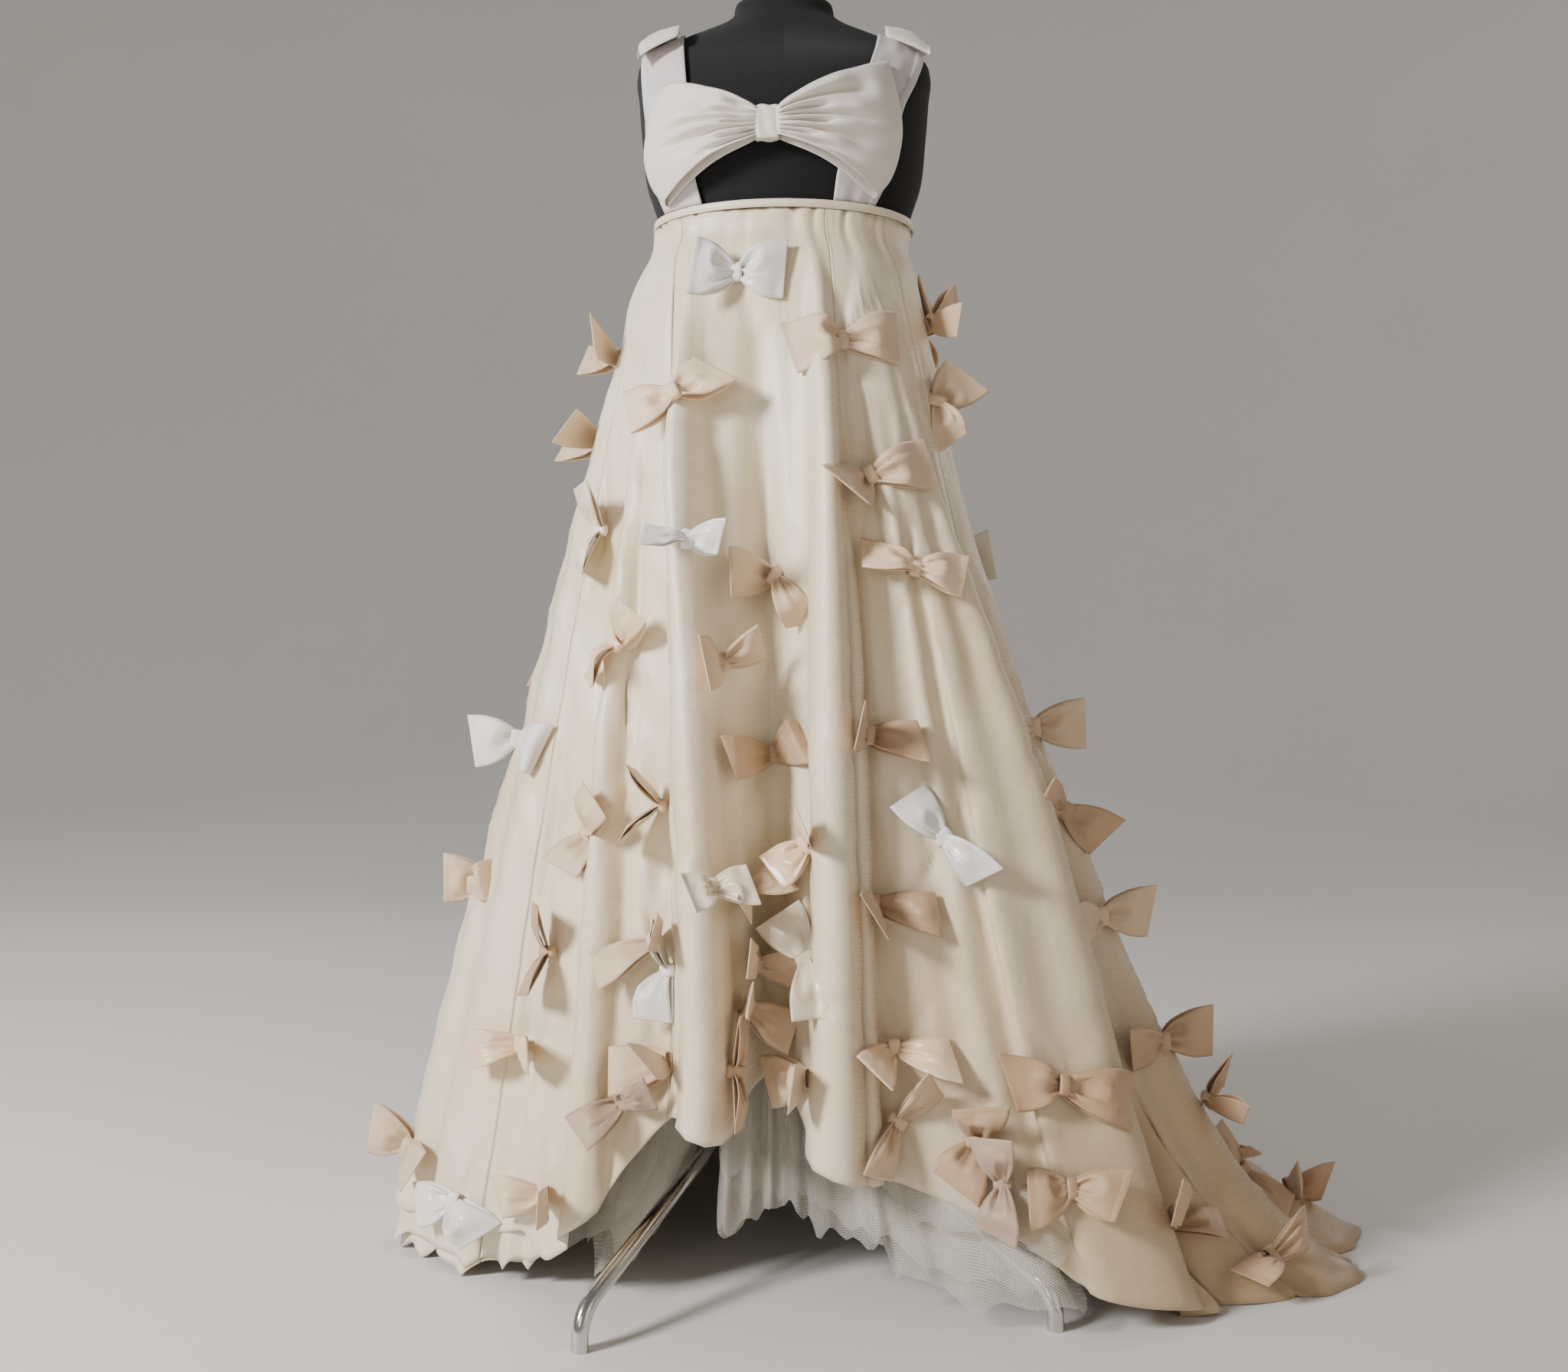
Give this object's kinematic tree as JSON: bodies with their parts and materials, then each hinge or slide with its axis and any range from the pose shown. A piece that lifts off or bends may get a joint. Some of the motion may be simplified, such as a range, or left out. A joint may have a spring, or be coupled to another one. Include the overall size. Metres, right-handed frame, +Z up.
{
  "type": "wedding dress on dress form stand",
  "caption": "High-waisted ivory wedding dress with a train and tacked-on bows, worn by a black limbless dress form on a five-legged steel stand.",
  "frame": {"origin": "centre of the bounding box on the floor", "axes": "+Z up; -Y is the wearer's front; +X is the side that the train sweeps to"},
  "size_m": [1.1214, 0.895, 1.412],
  "materials": {
    "skirt_taffeta": "ivory silk taffeta, soft sheen",
    "bodice_silk": "off-white silk, soft sheen",
    "strap_silk": "pale lavender-grey silk, matte",
    "net": "fine ivory net, see-through",
    "bow_white": "white satin",
    "bow_cream": "cream satin",
    "bow_peach": "peach satin",
    "bow_beige": "beige taffeta",
    "bow_tan": "tan taffeta",
    "form_cover": "black cotton jersey, matte",
    "steel_tube": "polished",
    "socket_metal": "dark, satin"
  },
  "bodies": {
    "root": {"form_torso": "form_cover", "stand_hub": "socket_metal", "stand_pole": "steel_tube", "stand_leg_1": "steel_tube", "stand_leg_2": "steel_tube", "stand_leg_3": "steel_tube", "stand_leg_4": "steel_tube", "stand_leg_5": "steel_tube", "skirt_centre_front": "skirt_taffeta", "skirt_side_front_train": "skirt_taffeta", "skirt_side_train": "skirt_taffeta", "skirt_side_back_train": "skirt_taffeta", "skirt_centre_back": "skirt_taffeta", "skirt_side_back_short": "skirt_taffeta", "skirt_side_short": "skirt_taffeta", "skirt_side_front_short": "skirt_taffeta", "skirt_binding": "skirt_taffeta", "petticoat_front": "net", "petticoat_back": "net", "strap_short_side": "strap_silk", "strap_train_side": "strap_silk", "bust_bow_wing_short_side": "bodice_silk", "bust_bow_wing_train_side": "bodice_silk", "bust_bow_knot": "bodice_silk", "shoulder_bow_short_side": "bodice_silk", "shoulder_bow_train_side": "bodice_silk", "bow_01": "bow_white", "bow_02": "bow_beige", "bow_03": "bow_peach", "bow_04": "bow_beige", "bow_05": "bow_beige", "bow_06": "bow_cream", "bow_07": "bow_white", "bow_08": "bow_beige", "bow_09": "bow_peach", "bow_10": "bow_peach", "bow_11": "bow_beige", "bow_12": "bow_white", "bow_13": "bow_tan", "bow_14": "bow_tan", "bow_15": "bow_beige", "bow_16": "bow_white", "bow_17": "bow_tan", "bow_18": "bow_beige", "bow_19": "bow_beige", "bow_20": "bow_cream", "bow_21": "bow_cream", "bow_22": "bow_tan", "bow_23": "bow_beige", "bow_24": "bow_beige", "bow_25": "bow_beige", "bow_26": "bow_peach", "bow_27": "bow_tan", "bow_28": "bow_tan", "bow_29": "bow_beige", "bow_30": "bow_beige", "bow_31": "bow_tan", "bow_32": "bow_white", "bow_33": "bow_peach", "bow_34": "bow_tan"}
  },
  "joints": []
}
